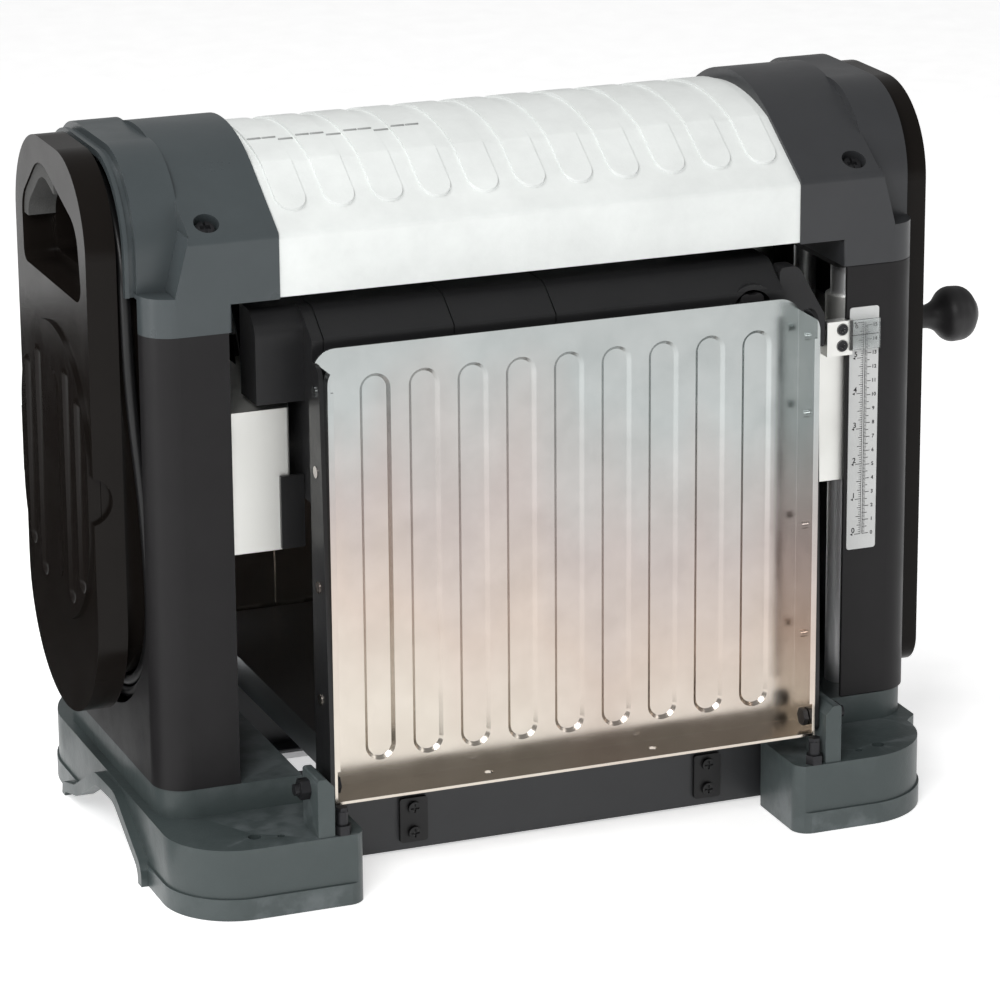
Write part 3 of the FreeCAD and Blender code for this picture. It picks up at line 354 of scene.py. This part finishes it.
def ink_bar(x0, x1, z0, z1):
    """A printed bar on the plate, from x0 to x1 measured from the plate's centre line."""
    add_box(bm, (MIDDLE + x0, FRONT - INK_OUT, z0), (MIDDLE + x1, FRONT + INK_IN, z1))


def tick_length(k, steps):
    """Length of the first kind of tick whose spacing divides k."""
    return next(length for every, length in steps if k % every == 0)


for k in range(INCHES * 16 + 1):
    z = ZERO + k * INCH / 16
    length = tick_length(k, ((16, 0.0044), (8, 0.0034), (4, 0.0026), (1, 0.0016)))
    thick = 0.00028 if k % 4 else 0.0004
    ink_bar(-RAIL_OUT - length, -RAIL_OUT, z - thick / 2, z + thick / 2)
for k in range(MILLIMETRES + 1):
    z = ZERO + k * 0.001
    length = tick_length(k, ((10, 0.0046), (5, 0.0034), (1, 0.0018)))
    thick = 0.00026 if k % 5 else 0.0004
    ink_bar(RAIL_OUT, RAIL_OUT + length, z - thick / 2, z + thick / 2)
ink_bar(-RAIL_OUT, -RAIL_IN, ZERO, ZERO + SCALE_LENGTH)
ink_bar(RAIL_IN, RAIL_OUT, ZERO, ZERO + SCALE_LENGTH)
for k in range(INCHES + 1):
    z = ZERO + k * INCH
    tip = MIDDLE - ARROW_X
    corners = [(tip, z), (tip + ARROW_LENGTH, z + ARROW_HALF), (tip + ARROW_LENGTH, z - ARROW_HALF)]
    bm.faces.new([bm.verts.new((x, FRONT - INK_IN, height)) for x, height in corners])
new_mesh("scale_ticks", bm, "ink", "frame", smooth=False)


def number(text, x, z, size):
    """Mesh of a number that faces the operator."""
    curve = bpy.data.curves.new("digit", "FONT")
    curve.body = text
    curve.size = size
    curve.align_x = "CENTER"
    curve.align_y = "CENTER"
    curve.extrude = 0.00006
    curve.offset = 0.00007
    o = bpy.data.objects.new("digit", curve)
    o.rotation_euler = (math.pi / 2, 0, 0)
    o.location = (x, FRONT - 0.00006, z)
    bpy.context.scene.collection.objects.link(o)
    bpy.context.view_layer.update()
    mesh = bpy.data.meshes.new_from_object(o)
    mesh.transform(o.matrix_world)
    bpy.data.objects.remove(o)
    return mesh


numbers = []
for k in range(INCHES + 1):
    beside = ZERO + k * INCH + 0.0027 - (0.005 if k == INCHES else 0)
    numbers.append(number(str(k), MIDDLE - 0.0062, beside, 0.0052))
for k in range(MILLIMETRES // 10 + 1):
    numbers.append(number(str(k), MIDDLE + 0.0078, ZERO + k * 0.01, 0.0036))
bm = bmesh.new()
for mesh in numbers:
    bm.from_mesh(mesh)
new_mesh("scale_numbers", bm, "ink", "frame", smooth=False)

# hinge seam of the cover's flap: barrels laid along the crown, stepping up over each rib
SEAM_Y, SEAM_R, SEAM_RIBS = -0.032, 0.0009, 4
MIDDLE_RIB = 5
RIB_PITCH, RIB_RISE, CROWN_R = 0.0337, 0.0018, 0.172
COVER_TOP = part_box("top_cover")[1].z
SHEET_Z = COVER_TOP - RIB_RISE - CROWN_R + math.sqrt(CROWN_R ** 2 - SEAM_Y ** 2)
bm = bmesh.new()


def barrel(x, z, length):
    """A short round barrel along X with chamfered ends."""
    rings = []
    for along, share in ((-0.5, 0.6), (-0.46, 1.0), (0.46, 1.0), (0.5, 0.6)):
        r = SEAM_R * share
        angles = [math.pi * k / 6 for k in range(12)]
        rings.append([(x + along * length, SEAM_Y + r * math.cos(a), z + r * math.sin(a))
                      for a in angles])
    add_tube(bm, rings)


for i in range(SEAM_RIBS):
    rib_x = (i - MIDDLE_RIB) * RIB_PITCH
    barrel(rib_x - 0.0051, SHEET_Z + RIB_RISE, 0.0095)
    barrel(rib_x + 0.0051, SHEET_Z + RIB_RISE, 0.0095)
    if i:
        barrel(rib_x - RIB_PITCH / 2, SHEET_Z, 0.0105)
bmesh.ops.recalc_face_normals(bm, faces=bm.faces)
new_mesh("cover_seam", bm, "seam", "frame")

# hairline across the cursor window
HAIR_HALF, HAIR_DEPTH, HAIR_INSET = 0.0002, 0.0001, 0.001
win_lo, win_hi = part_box("cursor_window")
level = (win_lo.z + win_hi.z) / 2
bm = bmesh.new()
add_box(bm, (win_lo.x + HAIR_INSET, win_lo.y - HAIR_DEPTH, level - HAIR_HALF),
        (win_hi.x - HAIR_INSET, win_lo.y + HAIR_DEPTH, level + HAIR_HALF))
new_mesh("cursor_hairline", bm, "ink", "carriage", smooth=False)


def hexagon_at(angle, across):
    """Distance from the centre to a hexagon's side in one direction."""
    return across / 2 / math.cos((angle + math.pi / 6) % (math.pi / 3) - math.pi / 6)


def socket_heads(name, places, radius, height, across, body):
    """Black cap screw heads that face the operator, with chamfered rims and hexagon sockets."""
    bm = bmesh.new()
    angles = [2 * math.pi * k / 36 for k in range(36)]
    for x, y, z in places:
        rings = []
        for depth, reach in ((height, radius), (0.0004, radius), (0, radius - 0.0004), (0, None),
                             (0.0011, None), (0.0015, 0.0001)):
            ring = []
            for a in angles:
                r = hexagon_at(a, across) if reach is None else reach
                ring.append((x + r * math.cos(a), y + depth, z + r * math.sin(a)))
            rings.append(ring)
        add_tube(bm, rings)
    bmesh.ops.recalc_face_normals(bm, faces=bm.faces)
    new_mesh(name, bm, "oxide", body, smooth=False)


socket_heads("cursor_socket_heads", [(0.2168, -0.1221, z) for z in (0.3263, 0.3378)],
             0.0041, 0.0024, 0.0031, "carriage")


# ---------------------------------------------------------------- mains cord
CORD_OUT = 0.2805            # lanes of the two turns, across the groove
CORD_IN = 0.2685
TURN_R = 0.082
WIDE_R = 0.0902              # the last half turn lies over the first
TURN_Z0 = 0.197
TURN_Z1 = 0.396


def half_turn(x, r, z, way):
    """Four corners of the route round one end of the oval; way is +1 at the top."""
    corner = r / math.cos(math.radians(22.5))
    points = []
    for degrees in (22.5, 67.5, 112.5, 157.5):
        a = math.radians(degrees)
        points.append((x, way * corner * math.cos(a), z + way * corner * math.sin(a)))
    return points


def mains_lead():
    """The lead, wound twice in the groove and ending at its plug."""
    route = [(CORD_OUT, TURN_R, TURN_Z0), (CORD_OUT, TURN_R, 0.272), (CORD_OUT, 0.0835, 0.351)]
    route += half_turn(CORD_OUT, TURN_R, TURN_Z1, 1)
    route += [(0.28, -0.083, 0.341), (0.271, -0.0824, 0.252)]
    route += half_turn(CORD_IN, TURN_R, TURN_Z0, -1)
    route += [(CORD_IN + 0.002, 0.0823, 0.252), (CORD_IN, 0.083, 0.341)]
    route += half_turn(CORD_IN, TURN_R, TURN_Z1, 1)
    route += [(CORD_IN, -0.083, 0.372), (CORD_IN, -0.0895, 0.305), (CORD_IN, -0.0906, 0.235)]
    route += half_turn(CORD_IN, WIDE_R, TURN_Z0, -1)
    route += [(CORD_IN, WIDE_R, 0.214), (CORD_IN, 0.0985, 0.237), (CORD_IN, 0.0985, 0.254)]
    curve = bpy.data.curves.new("mains_lead", "CURVE")
    curve.dimensions = "3D"
    spline = curve.splines.new("NURBS")
    spline.points.add(len(route) - 1)
    for point, (x, y, z) in zip(spline.points, route):
        point.co = (-x, y, z, 1.0)
    spline.order_u = 3
    spline.use_endpoint_u = True
    spline.resolution_u = 14
    curve.bevel_depth = 0.004
    curve.bevel_resolution = 6
    curve.use_fill_caps = True
    curve.materials.append(M["cord"])
    lead = bpy.data.objects.new("mains_lead", curve)
    bpy.context.scene.collection.objects.link(lead)
    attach(lead, "frame")
    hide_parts("mains_cord")


mains_lead()

# ------------------------------------------------------- stage, light, camera
WORLD_LIGHT = 0.34
FLOOR_GLOW = 0.55


def flat_sheet(name, corners, height, material):
    """A flat stage piece between two corners in plan."""
    (x0, y0), (x1, y1) = corners
    mesh = bpy.data.meshes.new(name)
    mesh.from_pydata([(x0, y0, 0), (x1, y0, 0), (x1, y1, 0), (x0, y1, 0)], [], [(0, 1, 2, 3)])
    mesh.materials.append(material)
    o = bpy.data.objects.new(name, mesh)
    o.location.z = height
    bpy.context.scene.collection.objects.link(o)
    return o


def area(name, at, target, size, power):
    """A rectangular soft light that faces a target."""
    light = bpy.data.lights.new(name, "AREA")
    light.shape = "RECTANGLE"
    light.size, light.size_y = size
    light.energy = power
    o = bpy.data.objects.new(name, light)
    o.location = at
    way = Vector(target) - Vector(at)
    o.rotation_mode = "QUATERNION"
    o.rotation_quaternion = way.to_track_quat("-Z", "Y")
    bpy.context.scene.collection.objects.link(o)


def studio_world():
    """Soft even light all round, seen as white."""
    world = bpy.data.worlds.new("studio")
    world.use_nodes = True
    tree = world.node_tree
    background = tree.nodes["Background"]
    background.inputs[0].default_value = (1.0, 1.0, 1.0, 1.0)
    path = tree.nodes.new("ShaderNodeLightPath")
    level = tree.nodes.new("ShaderNodeMapRange")
    level.inputs["To Min"].default_value = WORLD_LIGHT
    level.inputs["To Max"].default_value = 1.0
    tree.links.new(path.outputs["Is Camera Ray"], level.inputs["Value"])
    tree.links.new(level.outputs[0], background.inputs[1])
    bpy.context.scene.world = world


bpy.context.scene.view_settings.view_transform = "Standard"
floor_mat = painted("studio_floor", lin(246, 246, 246), (0.75, 0.8), 300, 0.00001, 200, 0.00001,
                    specular=0.1)
glow = floor_mat.node_tree.nodes["Principled BSDF"]
glow.inputs["Emission Color"].default_value = (1.0, 1.0, 1.0, 1.0)
glow.inputs["Emission Strength"].default_value = FLOOR_GLOW
flat_sheet("floor", ((-9, -6), (9, 4)), -0.0004, floor_mat)

studio_world()
area("key", (-1.4, -2.0, 2.0), (0, 0, 0.3), (1.1, 1.1), 47)
area("top", (-0.9, 0.4, 2.2), (0, 0, 0.3), (1.0, 0.7), 19)
area("left", (-2.4, -0.6, 0.35), (0, 0, 0.1), (0.6, 0.5), 7)
area("right", (2.2, -1.2, 1.1), (0, 0, 0.25), (0.7, 1.6), 7)

# a dark card on the floor behind, seen only in reflections, keeps the gloss moulding black
card_mat = painted("dark_card", lin(18, 18, 18), (0.7, 0.8), specular=0.0)
card = flat_sheet("dark_card", ((-1.0, -0.1), (-0.33, 1.4)), 0.0005, card_mat)
card.visible_camera = False
card.visible_diffuse = False
card.visible_shadow = False

CAMERA_AT = (-1.0842, -2.8197, 1.1546)
LENS = 162.94
YAW, PITCH, ROLL = math.radians(21.24), math.radians(17.42), math.radians(-0.42)
fwd = Vector((math.sin(YAW) * math.cos(PITCH), math.cos(YAW) * math.cos(PITCH), -math.sin(PITCH)))
side0 = fwd.cross(Vector((0, 0, 1))).normalized()
up0 = side0.cross(fwd)
side = side0 * math.cos(ROLL) + up0 * math.sin(ROLL)
up = -side0 * math.sin(ROLL) + up0 * math.cos(ROLL)
turn = Matrix((side, up, -fwd)).transposed()
cam_data = bpy.data.cameras.new("camera")
cam_data.sensor_width = 36.0
cam_data.lens = LENS
cam_data.clip_start = 0.1
cam_data.clip_end = 50
cam = bpy.data.objects.new("camera", cam_data)
cam.matrix_world = Matrix.Translation(CAMERA_AT) @ turn.to_4x4()
bpy.context.scene.collection.objects.link(cam)
bpy.context.scene.camera = cam

bpy.context.view_layer.update()
